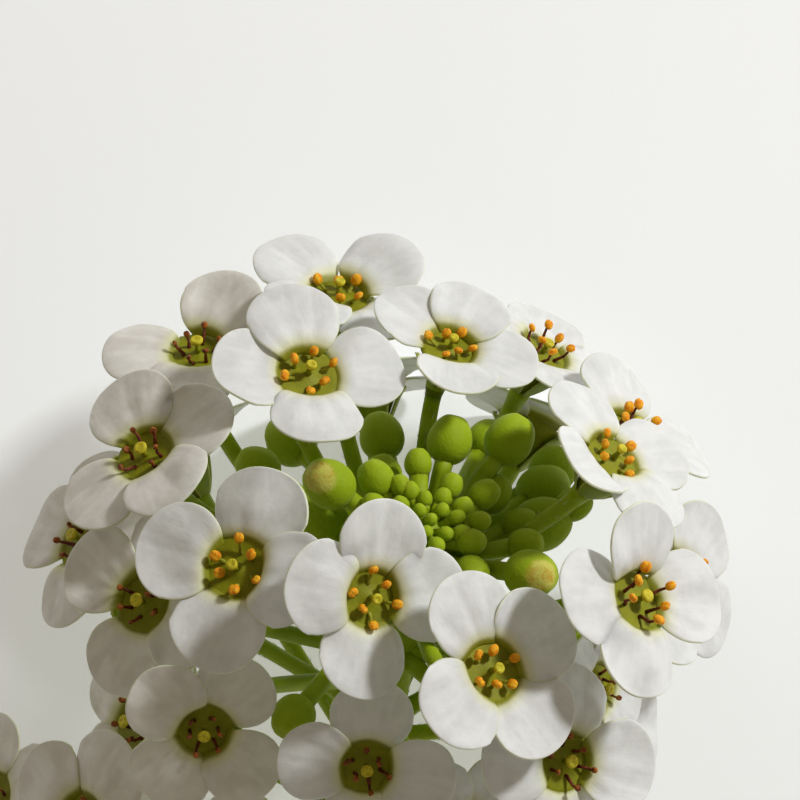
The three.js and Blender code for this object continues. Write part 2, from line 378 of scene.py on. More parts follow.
@dataclass(frozen=True)
class PetalFinish:
    """Thin white petal: yellow green where it leaves the cup, grey clouds of painted shade, faint streaks and
    a pale edge.
    """

    name: str = "petal"
    white: Colour = (0.80, 0.81, 0.80)
    # Grey for the faint streaks and for the clouds of painted shade on the petal's soft folds.
    streak_and_shade_grey: Colour = (0.62, 0.63, 0.63)
    edge: Colour = (0.72, 0.75, 0.46)
    glow: Colour = (0.66, 0.67, 0.28)
    throat: Colour = (0.27, 0.28, 0.012)
    cloud: float = 0.75
    # How many streaks there are across the petal and along it.
    streaks: tuple[float, float] = (9.0, 2.2)
    # How much of the grey of the streaks and the painted shade, the edge and the glow shows.
    streak_and_shade_amount: float = 0.55
    edging: float = 0.7
    glowing: float = 0.75
    # Where the edge, the glow and the throat set in, from 0 at the petal's root to 1 at its tip.
    edge_ends: Span = (0.95, 0.995)
    glow_ends: Span = (0.44, 0.16)
    throat_ends: Span = (0.25, 0.13)
    depth: float = 0.06
    rough: float = 0.5

    def make(self) -> bpy.types.Material:
        """Build the material.

        Returns:
            The material.
        """
        paint = Paint(
            self.name, Subsurface_Weight=0.3, Subsurface_Radius=(0.35, 0.35, 0.3), Subsurface_Scale=MM
        )
        streaks = paint.streaks(*self.streaks, 3)
        clouds = paint.spots(self.cloud, 3)
        # Painted shade: grey clouds stand in for the soft shading of the petal's folds, mixed with faint grey
        # streaks.
        streaks_and_painted_shade = (streaks * 0.4 + clouds * 0.6).step(0.40, 0.64)
        colour = paint.blend(streaks_and_painted_shade * self.streak_and_shade_amount, self.white, self.streak_and_shade_grey)
        colour = paint.blend(paint.margin().step(*self.edge_ends) * self.edging, colour, self.edge)
        reach = paint.sheet()[1] + (clouds - 0.5) * 0.08
        colour = paint.blend(reach.step(*self.glow_ends) * self.glowing, colour, self.glow)
        colour = paint.blend(reach.step(*self.throat_ends), colour, self.throat)
        paint.relief(streaks * 0.35 + clouds * 0.65, self.depth)
        return paint.finish(colour, self.rough + clouds * 0.12)


@dataclass(frozen=True)
class GreenFinish:
    """Fresh green plant skin: cloudy in colour, with a soft shine and, on a thin leaf, a paler margin."""

    name: str
    deep: Colour = (0.30, 0.41, 0.004)
    light: Colour = (0.36, 0.47, 0.008)
    margin: Colour | None = None
    cloud: float = 0.9
    grain: float = 0.12
    rough: float = 0.42
    depth: float = 0.015
    margin_ends: Span = (0.72, 0.97)

    def make(self) -> bpy.types.Material:
        """Build the material.

        Returns:
            The material.
        """
        paint = Paint(
            self.name,
            Subsurface_Weight=0.2,
            Subsurface_Radius=(0.3, 0.45, 0.05),
            Subsurface_Scale=MM,
            Specular_IOR_Level=0.3,
        )
        clouds = paint.spots(self.cloud, 3)
        grain = paint.spots(self.grain)
        colour = paint.blend((clouds * 0.9 + grain * 0.1).step(0.1, 0.9), self.deep, self.light)
        if self.margin:
            colour = paint.blend(paint.margin().step(*self.margin_ends), colour, self.margin)
        paint.relief(clouds * 0.6 + grain * 0.4, self.depth)
        return paint.finish(colour, self.rough + grain * 0.2)


@dataclass(frozen=True)
class BudFinish:
    """Bud skin: yellow green with painted light at the tip, painted shade below, and a blush and cream where
    it opens.
    """

    # The deep colour is painted shade towards the bud's stalk, and the light one painted light towards its
    # tip.
    deep: Colour = (0.30, 0.41, 0.003)
    light: Colour = (0.35, 0.46, 0.008)
    seam: Colour = (0.42, 0.52, 0.05)
    blush: Colour = (0.58, 0.34, 0.05)
    cream: Colour = (0.66, 0.60, 0.14)
    cloud: float = 0.4
    grain: float = 0.09
    # How much of the seams' colour, of their colour in the grain, and of the opening shows.
    seams: float = 0.5
    flecks: float = 0.14
    opened: float = 0.85
    depth: float = 0.03
    rough: float = 0.52

    def make(self) -> bpy.types.Material:
        """Build the material.

        Returns:
            The material.
        """
        paint = Paint(
            "bud",
            Subsurface_Weight=0.35,
            Subsurface_Radius=(0.3, 0.45, 0.06),
            Subsurface_Scale=MM,
            Sheen_Weight=0.05,
            Sheen_Roughness=0.5,
            Specular_IOR_Level=0.16,
        )
        clouds = paint.spots(self.cloud, 3)
        grain = paint.spots(self.grain)
        top, seam, opening = (paint.attribute(name) for name in Body.FIELDS)
        # Painted light and shade: lighter towards the bud's tip, darker towards its stalk.
        colour = paint.blend((top + (clouds - 0.5) * 0.5).step(-0.05, 1.0), self.deep, self.light)
        colour = paint.blend(seam * self.seams, colour, self.seam)
        warm = paint.blend((clouds * 0.6 + grain * 0.4).step(0.36, 0.58), self.blush, self.cream)
        bare = (opening * (0.5 + seam * 0.35 + clouds * 0.5)).step(0.3, 0.75)
        colour = paint.blend(bare * self.opened, colour, warm)
        colour = paint.blend(grain.step(0.35, 0.7) * self.flecks, colour, self.seam)
        paint.relief(clouds * 0.3 + grain * 0.7, self.depth)
        return paint.finish(colour, self.rough + grain * 0.2)


@dataclass(frozen=True)
class PollenFinish:
    """Grainy anther, stigma or filament, between two colours."""

    name: str
    deep: Colour
    light: Colour
    grain: float = 0.045
    depth: float = 0.03
    cloud: float = 0.16
    rough: float = 0.45

    def make(self) -> bpy.types.Material:
        """Build the material.

        Returns:
            The material.
        """
        paint = Paint(
            self.name,
            Subsurface_Weight=0.1,
            Subsurface_Radius=(0.3, 0.15, 0.05),
            Subsurface_Scale=MM,
            Specular_IOR_Level=0.25,
        )
        grain = paint.spots(self.grain)
        clouds = paint.spots(self.cloud)
        colour = paint.blend((grain * 0.45 + clouds * 0.55).step(0.36, 0.62), self.deep, self.light)
        paint.relief(grain * 0.7 + clouds * 0.3, self.depth)
        return paint.finish(colour, self.rough + grain * 0.25)


@dataclass(frozen=True)
class HairFinish:
    """Silvery hair, greener here and paler there."""

    green: Colour = (0.42, 0.48, 0.25)
    silver: Colour = (0.80, 0.82, 0.72)
    cloud: float = 0.2
    rough: float = 0.4

    def make(self) -> bpy.types.Material:
        """Build the material.

        Returns:
            The material.
        """
        paint = Paint("hair")
        colour = paint.blend(paint.spots(self.cloud).step(0.35, 0.6), self.green, self.silver)
        return paint.finish(colour, self.rough)


@dataclass(frozen=True)
class FloorFinish:
    """Matt pale tabletop with a faint light of its own."""

    pale: Colour = (0.89, 0.92, 0.96)
    shade: Colour = (0.86, 0.89, 0.93)
    glow: float = 0.31
    cloud: float = 30.0
    rough: float = 0.85

    def make(self) -> bpy.types.Material:
        """Build the material."""
        paint = Paint("tabletop", Emission_Color=(1.0, 1.0, 1.0), Emission_Strength=self.glow)
        return paint.finish(paint.blend(paint.spots(self.cloud), self.pale, self.shade), self.rough)


class Finish(Enum):
    """Every finish of the flower head and its table, made once and shared by the pieces."""

    PETAL = PetalFinish()
    # Petals of faded flowers: a little browner with age, and darker and warmer as painted shade.
    FADED_PETAL_IN_SHADE = PetalFinish("faded petal", white=(0.80, 0.78, 0.73), streak_and_shade_grey=(0.60, 0.56, 0.51))
    STEM = GreenFinish("stem skin")
    SEPAL = GreenFinish("sepal skin", (0.18, 0.24, 0.004), (0.30, 0.37, 0.012), (0.46, 0.50, 0.14), cloud=0.6)
    CUP = GreenFinish("cup skin", (0.19, 0.21, 0.002), (0.32, 0.32, 0.004), cloud=0.4, grain=0.1, rough=0.5)
    CUT = GreenFinish("cut end", (0.42, 0.50, 0.14), (0.68, 0.70, 0.40), cloud=0.3, grain=0.08, rough=0.55)
    BUD = BudFinish()
    ANTHER = PollenFinish("anther", (0.82, 0.23, 0.001), (0.98, 0.52, 0.02))
    OLD_ANTHER = PollenFinish("old anther", (0.09, 0.018, 0.006), (0.45, 0.14, 0.02))
    STIGMA = PollenFinish("stigma", (0.46, 0.40, 0.008), (0.72, 0.62, 0.04), grain=0.05)
    FILAMENT = PollenFinish("filament", (0.26, 0.28, 0.01), (0.42, 0.41, 0.05), grain=0.08, depth=0.01)
    OLD_FILAMENT = PollenFinish(
        "old filament", (0.075, 0.012, 0.006), (0.22, 0.05, 0.02), grain=0.08, depth=0.01
    )
    HAIR = HairFinish()
    FLOOR = FloorFinish()

    def material(self) -> bpy.types.Material:
        """Make the finish's material, or find it.

        Returns:
            The finish's one material.
        """
        if self not in MATERIALS:
            MATERIALS[self] = self.value.make()
        return MATERIALS[self]


MATERIALS: dict[Finish, bpy.types.Material] = {}


# ---- Mesh work -------------------------------------------------------------------------------------------


class Body:
    """A mesh under construction, in millimetres. Its parts are closed shells, each with one finish."""

    # What a point may say about itself: how high it is on a bud, how near a seam, and how far opened.
    FIELDS = ("top", "seam", "opening")
    # Points that lie closer together than this become one.
    WELD = 1e-5

    def __init__(self) -> None:
        """Start an empty body."""
        self.bm = self.part()
        self.finishes: list[Finish] = []

    def part(self) -> BMesh:
        """Start a part.

        Returns:
            A mesh of its own, with the map and the fields that a body has.
        """
        part = bmesh.new()
        part.loops.layers.uv.new(SHEET_MAP)
        for name in self.FIELDS:
            part.verts.layers.float.new(name)
        return part

    def join(self, part: BMesh, finish: Finish, place: Matrix | None = None) -> None:
        """Finish a part and join it to the body.

        Args:
            part: The part, which is used up.
            finish: Its finish.
            place: A frame that it is moved into.
        """
        if finish not in self.finishes:
            self.finishes.append(finish)
        for face in part.faces:
            face.material_index, face.smooth = self.finishes.index(finish), True
        bmesh.ops.recalc_face_normals(part, faces=part.faces[:])
        if place is not None:
            bmesh.ops.transform(part, matrix=place, verts=part.verts[:])
        scratch = bpy.data.meshes.new("part")
        part.to_mesh(scratch)
        part.free()
        self.bm.from_mesh(scratch)
        bpy.data.meshes.remove(scratch)

    def plate(
        self,
        cells: tuple[int, int],
        shape: Callable[[float, float], Vector],
        thickness: float,
        finish: Finish,
        place: Matrix,
    ) -> None:
        """Bend a grid into a thin leaf with a wall of its own.

        Args:
            cells: How many cells it has across and along.
            shape: Where a point goes, from its place across (-1 to 1) and along (0 to 1).
            thickness: The leaf's thickness.
            finish: Its finish.
            place: A frame that it is moved into.
        """
        part = self.part()
        bmesh.ops.create_grid(part, x_segments=cells[0], y_segments=cells[1], size=1.0, calc_uvs=True)
        for vert in part.verts:
            vert.co = shape(vert.co.x, (vert.co.y + 1) / 2)
        bmesh.ops.recalc_face_normals(part, faces=part.faces[:])
        bmesh.ops.solidify(part, geom=part.faces[:], thickness=thickness)
        self.join(part, finish, place)

    def lathe(self, profile: Profile, steps: int, finish: Finish, place: Matrix) -> None:
        """Spin a profile about Z.

        Args:
            profile: Radius and height of each point, from one end on the axis to the other.
            steps: How many faces go round.
            finish: Its finish.
            place: A frame that it is moved into.
        """
        part = self.part()
        points = [part.verts.new((r, 0, z)) for r, z in profile]
        edges = [part.edges.new(pair) for pair in zip(points, points[1:])]
        bmesh.ops.spin(
            part,
            geom=points + edges,
            axis=(0, 0, 1),
            cent=(0, 0, 0),
            angle=2 * math.pi,
            steps=steps,
            use_merge=True,
        )
        bmesh.ops.remove_doubles(part, verts=part.verts[:], dist=self.WELD)
        self.join(part, finish, place)

    def sweep(
        self,
        points: Sequence[Vector],
        radii: Sequence[float],
        sides: int,
        finish: Finish,
        place: Matrix | None = None,
    ) -> None:
        """Carry a round section along a line of points.

        Args:
            points: The line.
            radii: The section's radius at each point.
            sides: How many sides it has.
            finish: Its finish.
            place: A frame that it is moved into.
        """
        part = self.part()
        ways = [b - a for a, b in zip(points, points[1:])]
        ways = [ways[0], *(a.normalized() + b.normalized() for a, b in zip(ways, ways[1:])), ways[-1]]
        beside = ways[0].orthogonal()
        frames = []
        for point, way, radius in zip(points, ways, radii):
            here = aim(point, way, beside)
            beside = here.to_3x3().col[0]
            frames.append(here @ Matrix.Diagonal((radius, radius, 1, 1)))
        bmesh.ops.create_circle(part, cap_ends=True, radius=1.0, segments=sides, matrix=frames[0])
        cap = part.faces[:][0]
        for last, here in zip(frames, frames[1:]):
            made = bmesh.ops.extrude_face_region(part, geom=[cap])["geom"]
            cap = next(item for item in made if isinstance(item, BMFace))
            bmesh.ops.transform(part, matrix=here @ last.inverted(), verts=cap.verts[:])
        self.join(part, finish, place)

    def ball(
        self,
        rings: tuple[int, int],
        finish: Finish,
        place: Matrix,
        move: Callable[[Vector], tuple[Vector, Sequence[float]]],
    ) -> None:
        """Add a sphere of radius 1 and move its points.

        Args:
            rings: Its faces round and down.
            finish: Its finish.
            place: A frame that it is moved into, which may scale it.
            move: Where each of its points goes before that, and what its fields say there.
        """
        part = self.part()
        layers = [part.verts.layers.float[name] for name in self.FIELDS]
        bmesh.ops.create_uvsphere(part, u_segments=rings[0], v_segments=rings[1], radius=1.0)
        for vert in part.verts:
            vert.co, fields = move(vert.co.copy())
            for layer, number in zip(layers, fields):
                vert[layer] = number
        self.join(part, finish, place)

    def piece(self, name: str, slot: str, replaced: Sequence[str] = (), levels: int = 0) -> None:
        """Write the body as a piece that rides on the frame.

        Args:
            name: The piece's name.
            slot: The record's material slot, which is not used.
            replaced: CAD nodes that it stands for.
            levels: How often it is subdivided.
        """
        bmesh.ops.transform(self.bm, matrix=Matrix.Scale(MM, 4), verts=self.bm.verts[:])
        mesh = bpy.data.meshes.new(name)
        self.bm.to_mesh(mesh)
        self.bm.free()
        for finish in self.finishes:
            mesh.materials.append(finish.material())
        piece = show(name, mesh)
        if levels:
            smooth = piece.modifiers.new("Smooth", "SUBSURF")
            smooth.levels = smooth.render_levels = levels
        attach(piece, "root")
        if replaced:
            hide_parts(*replaced)
        log.info("%s: %d faces", name, len(mesh.polygons) * 4**levels)


# ---- The head's layout -----------------------------------------------------------------------------------


@dataclass(frozen=True)
class HeadFrame:
    """How the flower head stands in the part's frame."""

    lean: float = 41.0
    turn: float = -12.0
    at: tuple[float, float, float] = (3.33, 9.53, 13.4)

    def matrix(self) -> Matrix:
        """The head's frame."""
        return Matrix.Translation(self.at) @ turn_about("Z", self.turn) @ turn_about("X", -self.lean)

    def point(self, azimuth: float, reach: float, drop: float) -> Vector:
        """Find a point of the head.

        Args:
            azimuth: Degrees about the axis.
            reach: Distance from the axis.
            drop: Depth below the topmost whorl.

        Returns:
            The point in the part's frame.
        """
        a = math.radians(azimuth)
        return self.matrix() @ Vector((reach * math.cos(a), reach * math.sin(a), -drop))

    def direction(self, azimuth: float, lean: float) -> Vector:
        """Find a direction of the head.

        Args:
            azimuth: Degrees about the axis that it leans to.
            lean: Degrees away from the axis.

        Returns:
            The direction in the part's frame.
        """
        a, s = math.radians(azimuth), math.radians(lean)
        way = Vector((math.sin(s) * math.cos(a), math.sin(s) * math.sin(a), math.cos(s)))
        return self.matrix().to_3x3() @ way


HEAD = HeadFrame()


class Age(Enum):
    """How far a flower has come."""

    FRESH = "fresh"
    RIPE = "ripe"
    OLD = "old"
    # Faded flowers, whose petals also get darker, warmer painted shade.
    FADED_IN_SHADE = "faded_in_shade"


def cross(turn: float, pair: float = 86.0) -> tuple[float, ...]:
    """Turns of four petals that stand in two pairs.

    Args:
        turn: The turn of the first pair's middle.
        pair: The angle between two petals of a pair.

    Returns:
        The four turns in degrees.
    """
    return turn - pair / 2, turn + pair / 2, turn + 180 - pair / 2, turn + 180 + pair / 2


@dataclass(frozen=True)
class Spot:
    """One flower: where it is, how it faces, how its petals stand, and its age and size.

    Its place is an azimuth, a distance from the axis and a drop. It leans away from the axis, towards its
    azimuth and swung a little past it. Its petals have a turn each about the flower, and rise by one angle
    or by four.
    """

    at: tuple[float, float, float]
    lean: float
    swing: float
    turns: tuple[float, ...]
    rise: float | tuple[float, ...]
    age: Age = Age.FRESH
    size: float = 1.0

    def matrix(self) -> Matrix:
        """Find the flower's frame.

        Returns:
            The frame, which has the flower's size in it.
        """
        azimuth = self.at[0]
        facing = HEAD.direction(azimuth + self.swing, self.lean)
        return aim(HEAD.point(*self.at), facing, HEAD.direction(azimuth, 90)) @ Matrix.Scale(self.size, 4)

    def rises(self) -> tuple[float, ...]:
        """How far each of the four petals rises, in degrees."""
        return self.rise if isinstance(self.rise, tuple) else (self.rise,) * 4

    def calyx(self) -> Matrix:
        """The flower's frame, turned so that its X points between the first two petals."""
        return self.matrix() @ turn_about("Z", (self.turns[0] + self.turns[1]) / 2)


SPOTS = (
    # the topmost whorl, round the buds
    Spot((147, 5.3, -0.4), 7, 173, (50, 140, 234, 331), (13, 18, 11, 13)),
    Spot((94, 5.5, 0), 10, -45, (62, 186, 265, 344), (13, 18, 16, 13), size=0.9),
    Spot((73, 8.6, 2.4), 25, -22, (14, 104, 210, 290), (6, 6, 18, 0), Age.RIPE, size=0.93),
    Spot((21, 5.5, -0.6), 27, 3, (20, 118, 212, 294), (14, 8, 20, 10), size=0.96),
    Spot((-29, 7.5, -1), 34, 18, (63, 162, 240, 318), (16, 40, 10, 2), Age.RIPE),
    Spot((-67, 7, 0.2), 32, 27, (43, 130, 208, 311), (13, 12, 16, 13)),
    Spot((-103, 5.2, -0.2), 44, 52, (34, 136, 217, 301), (12, 15, 14, 13), size=0.98),
    Spot((-141, 6.8, 0.7), 33, 14, (46, 132, 216, 312), (8, 18, 14, 16), size=1.04),
    # the second whorl
    Spot((117, 9.1, 1.6), 16, -11, (31, 125, 205, 288), (20, 18, 11, 25)),
    Spot((145, 9.8, 2.8), 15, 13, (42, 124, 204, 283), (8, 6, 6, 28), Age.FADED_IN_SHADE, size=0.98),
    Spot((178, 8.8, 1.9), 30, 22, (56, 136, 216, 298), (10, 18, 8, 12), Age.FADED_IN_SHADE),
    Spot((-154, 8.8, 3.7), 46, 23, (56, 136, 226, 310), (5, 5, 4, 5), Age.FADED_IN_SHADE, size=0.98),
    Spot((-125, 9.1, 4.7), 62, 42, (32, 117, 214, 296), (8, 12, 9, 12), Age.FADED_IN_SHADE, size=0.89),
    Spot((-92, 8, 4), 58, 10, (22, 104, 200, 286), (10, 12, 0, 8), Age.OLD, size=0.89),
    Spot((-51, 8.7, 3.3), 44, 8, (-12, 72, 168, 252), (4, 18, 10, 6), Age.OLD, size=0.97),
    Spot((-27, 6.9, 4.1), 62, 4, (-44, 38, 138, 222), (-4, 4, 14, 14), Age.OLD, size=0.86),
    Spot((11, 8.1, 4), 46, -27, (-30, 58, 158, 252), (4, 12, 4, 12), Age.RIPE, size=0.94),
    Spot((42, 7.6, 1.7), 28, -2, (-25, 77, 160, 242), (6, 19, 9, 6), Age.RIPE, size=0.98),
    # the oldest flowers, lowest on the stem
    Spot((-179, 10.3, 6), 51, 12, (-26, 96, 176, 255), 4, Age.FADED_IN_SHADE),
    Spot((-159, 8.1, 11), 60, 2, cross(56), 6, Age.FADED_IN_SHADE),
    Spot((-135, 11.8, 9.2), 60, -5, cross(45), 9, Age.FADED_IN_SHADE),
    Spot((107, 9.2, 6.2), 60, 4, cross(0), 8, Age.OLD),
    Spot((73, 9.2, 6.3), 60, 3, cross(0), 8, Age.OLD),
    Spot((144, 10.3, 8.4), 63, -3, cross(0), 7, Age.OLD),
    Spot((33, 9.2, 6.8), 64, 0, cross(0), 8, Age.OLD),
    Spot((-12, 7.2, 8.2), 64, -1, cross(0), 7, Age.OLD),
    Spot((-68, 7.9, 7), 62, 2, cross(0), 9, Age.OLD, size=0.95),
    Spot((-106, 9, 9.6), 62, 0, cross(0), 8, Age.FADED_IN_SHADE),
    Spot((-158, 12.4, 14), 56, 4, cross(30), 9, Age.FADED_IN_SHADE, size=0.92),
)


# ---- The flower ------------------------------------------------------------------------------------------


@dataclass(frozen=True)
class Petal:
    """A petal: it rises out of the cup and folds over into a round blade."""

    cells: tuple[int, int] = (16, 16)
    thickness: float = 0.09
    root: float = 0.5
    droop: float = 0.05
    # Where the blade starts and where it is fully spread, from the flower's middle.
    blade: Span = (1.05, 2.0)
    # Where it parts in height from its neighbours, and where its folds set in, from the flower's middle.
    parting: Span = (0.7, 1.0)
    fold_ends: Span = (0.85, 1.5)
    # The place that the folds fan out from.
    fan_foot: float = 0.3
    # How petals differ: hollow, lean to one side, width, folds, furrow down the middle and curl of the edge.
    hollows: Span = (-0.09, 0.11)
    leans: Span = (-0.06, 0.06)
    widths: Span = (0.97, 1.0)
    folds: Span = (2.5, 4.5)
    furrows: Span = (0.0, 0.05)
    curls: Span = (-0.09, 0.06)
    furrow_width: float = 0.18
    fold_height: float = 0.03
    # How high its swells are, and how close together along and across.
    swell: float = 0.22
    swell_scale: tuple[float, float] = (0.55, 0.7)
    # Distance from the flower's middle at the sides and along the middle, half width and height, root to tip.
    rows: tuple[tuple[float, float, float, float], ...] = (
        (0.58, 0.80, 0.60, -0.25),
        (0.63, 0.87, 0.70, -0.14),
        (0.69, 0.96, 0.82, -0.06),
        (0.77, 1.07, 0.95, 0.0),
        (0.88, 1.22, 1.08, 0.03),
        (1.03, 1.42, 1.20, 0.03),
        (1.19, 1.67, 1.31, 0.02),
        (1.36, 1.95, 1.385, 0.01),
        (1.51, 2.26, 1.43, 0.0),
        (1.65, 2.58, 1.45, 0.0),
        (1.75, 2.82, 1.455, 0.0),
        (1.80, 2.96, 1.46, 0.0),
        (1.82, 3.02, 1.46, 0.0),
    )

    def shape(self, rise: float, level: float, dice: random.Random) -> Callable[[float, float], Vector]:
        """Draw one petal's own form.

        Args:
            rise: Degrees that it rises from its root.
            level: Its height over its neighbours.
            dice: Where its small differences come from.

        Returns:
            Where a point goes, from its place across and along, with the petal pointing along X.
        """
        up = math.radians(rise)
        seed, hollow, lean = dice.uniform(0, 90), dice.uniform(*self.hollows), dice.uniform(*self.leans)
        wide, folds, phase = dice.uniform(*self.widths), dice.uniform(*self.folds), dice.uniform(0, 6)
        furrow, curl = dice.uniform(*self.furrows), dice.uniform(*self.curls)

        def move(v: float, u: float) -> Vector:
            """Move one point of the grid.

            Args:
                v: Its place across, from -1 to 1.
                u: Its place along, from 0 to 1.

            Returns:
                Where it goes.
            """
            side, middle, half, lift = through(self.rows, u)
            reach = side + (middle - side) * math.cos(v * math.pi / 2)
            y = wide * half * (v + (math.sin(v * math.pi / 2) - v) * u**2)
            out = math.hypot(reach, y)
            blade = ease(*self.blade, out)
            fan = math.atan2(y, reach - self.fan_foot)
            lift += level * ease(*self.parting, out)
            lift += blade * (hollow * y * y + lean * y + curl * max(abs(v), u) ** 5)
            along, across = self.swell_scale
            lift += blade * self.swell * noise.noise(Vector((reach * along, y * across, seed)))
            folded = ease(*self.fold_ends, out) * self.fold_height * math.sin(folds * fan * 3 + phase)
            lift += folded * (1 - 0.5 * u)
            lift -= blade * furrow * dip(y, self.furrow_width) * (1 - u**3)
            free = max(reach - self.root, 0.0)
            droop = self.droop * free**2
            x = min(reach, self.root) + free * math.cos(up) + (droop - lift) * math.sin(up)
            return Vector((x, y, free * math.sin(up) + (lift - droop) * math.cos(up)))

        return move


@dataclass
class Corolla:
    """The four petals of a flower."""

    petal: Petal = field(default_factory=Petal)
    # How far every other petal stands over the flower's own level, and the rest under it.
    overlap: float = 0.09

    def build(self, spot: Spot, number: int) -> None:
        """Build one flower's petals.

        Args:
            spot: The flower.
            number: Its number, which is also the seed of its small differences.
        """
        body = Body()
        dice = random.Random(number)
        petal = self.petal
        # Faded flowers get the petal finish with painted shade.
        finish = Finish.FADED_PETAL_IN_SHADE if spot.age is Age.FADED_IN_SHADE else Finish.PETAL
        sunk = Matrix.Translation((0, 0, -petal.thickness / 2))
        for i, (turn, rise) in enumerate(zip(spot.turns, spot.rises())):
            shape = petal.shape(rise, self.overlap if i % 2 else -self.overlap, dice)
            place = spot.matrix() @ turn_about("Z", turn) @ sunk
            body.plate(petal.cells, shape, petal.thickness, finish, place)
        name = f"flower_{number:02d}_petals"
        body.piece(f"{name}_fine", "petal_white", [name], levels=1)


@dataclass(frozen=True)
class Stamen:
    """A stamen: a filament from the cup's foot and an anther of two lobes."""

    foot: float = 0.46
    # Distance of the anther from the flower's middle.
    short_reach: Span = (0.42, 0.6)
    long_reach: Span = (0.66, 0.86)
    height: float = 0.12
    heights: Span = (0.7, 1.3)
    # How much the filament has grown in a ripe flower and in an older one.
    ripe_growth: float = 0.36
    old_growth: float = 0.16
    # How far a filament may stand beside its own turn, in degrees.
    stray: float = 9.0
    # Radii of the filament from its foot up, and its sides.
    thread: tuple[float, ...] = (0.075, 0.065, 0.05, 0.042, 0.035)
    sides: int = 6
    anther: tuple[float, float, float] = (0.13, 0.165, 0.19)
    rings: tuple[int, int] = (16, 12)
    sizes: Span = (0.85, 1.08)
    # How far an anther tips over and turns, in degrees.
    tips: Span = (20, 65)
    twists: Span = (-40, 40)
    # How much of its size an emptied anther keeps.
    withered: float = 0.62
    groove_width: float = 0.24

    def add(self, body: Body, turn: float, short: bool, age: Age, place: Matrix, dice: random.Random) -> None:
        """Add one stamen to a heart.

        Args:
            body: The heart.
            turn: The stamen's turn about the flower.
            short: Whether it is one of the two shorter ones.
            age: The flower's age.
            place: The flower's frame.
            dice: Where its small differences come from.
        """
        old = age in (Age.OLD, Age.FADED_IN_SHADE)
        reach = dice.uniform(*(self.short_reach if short else self.long_reach))
        top = self.height * dice.uniform(*self.heights)
        top += {Age.FRESH: 0.0, Age.RIPE: self.ripe_growth}.get(age, self.old_growth)
        there = place @ turn_about("Z", turn + dice.uniform(-self.stray, self.stray))
        line = [
            Vector((self.foot, 0, -0.35)),
            Vector((self.foot + 0.02, 0, -0.14)),
            Vector((reach - 0.06, dice.uniform(-0.03, 0.03), top * 0.3)),
            Vector((reach - 0.02, 0, top * 0.7)),
            Vector((reach, 0, top)),
        ]
        filament = Finish.FILAMENT if age is Age.FRESH else Finish.OLD_FILAMENT
        body.sweep(line, self.thread, self.sides, filament, there)
        size = dice.uniform(*self.sizes) * (self.withered if old else 1.0)
        tilt = turn_about("Y", dice.uniform(*self.tips)) @ turn_about("Z", dice.uniform(*self.twists))
        full = Matrix.Diagonal((*(size * half for half in self.anther), 1))
        tip = there @ Matrix.Translation((reach, 0, top + 0.05)) @ tilt @ full
        body.ball(self.rings, Finish.OLD_ANTHER if old else Finish.ANTHER, tip, self.cleft)

    def cleft(self, p: Vector) -> tuple[Vector, Sequence[float]]:
        """Part a ball into the two lobes of an anther.

        Args:
            p: A point of the ball.

        Returns:
            Where the point goes, and no fields.
        """
        groove = dip(p.y, self.groove_width)
        scale = 1 - 0.26 * groove * ease(-0.3, 0.4, abs(p.x)) - 0.12 * groove * abs(p.z)
        return Vector((p.x * scale, p.y, p.z * (1 - 0.1 * groove))), ()


@dataclass
class Heart:
    """The heart: a green cushion with the pistil in its middle and six stamens round it."""

    stamen: Stamen = field(default_factory=Stamen)
    turns: tuple[float, ...] = (35, 90, 145, 215, 270, 325)
    # Which of the six stamens are the short ones.
    short: tuple[int, ...] = (1, 4)
    # Radius and height of the cushion, from its foot in the calyx over its rim to its middle.
    cushion: Profile = (
        (0, -1.78),
        (0.24, -1.76),
        (0.42, -1.45),
        (0.62, -1.0),
        (0.82, -0.58),
        (0.99, -0.33),
        (1.04, -0.24),
        (1.0, -0.18),
        (0.88, -0.17),
        (0.70, -0.19),
        (0.48, -0.20),
        (0.28, -0.18),
        (0.16, -0.12),
        (0, -0.08),
    )
    cushion_sides: int = 20
    style_sides: int = 8
    stigma_sides: int = 14
    style_heights: tuple[float, ...] = (-0.05, 0.1, 0.32)
    style_radii: tuple[float, ...] = (0.11, 0.08, 0.09)
    # Radius and height of the stigma on the style, and how much wider an older one is.
    stigma: Profile = (
        (0, 0.22),
        (0.09, 0.24),
        (0.16, 0.31),
        (0.175, 0.39),
        (0.14, 0.45),
        (0.08, 0.435),
        (0, 0.40),
    )
    grown: float = 1.25
    first_seed: int = 500

    def build(self, spot: Spot, number: int) -> None:
        """Build one flower's heart.

        Args:
            spot: The flower.
            number: Its number.
        """
        body = Body()
        place = spot.calyx()
        dice = random.Random(self.first_seed + number)
        body.lathe(self.cushion, self.cushion_sides, Finish.CUP, place)
        style = [Vector((0, 0, z)) for z in self.style_heights]
        body.sweep(style, self.style_radii, self.style_sides, Finish.CUP, place)
        wide = 1.0 if spot.age is Age.FRESH else self.grown
        raised = place @ Matrix.Translation((0, 0, dice.uniform(-0.05, 0.05)))
        widened = raised @ Matrix.Diagonal((wide, wide, 1, 1))
        body.lathe(self.stigma, self.stigma_sides, Finish.STIGMA, widened)
        for i, turn in enumerate(self.turns):
            self.stamen.add(body, turn, i in self.short, spot.age, place, dice)
        name = f"flower_{number:02d}_heart"
        body.piece(f"{name}_fine", "heart_yellow_green", [name])


# ---- The stem --------------------------------------------------------------------------------------------


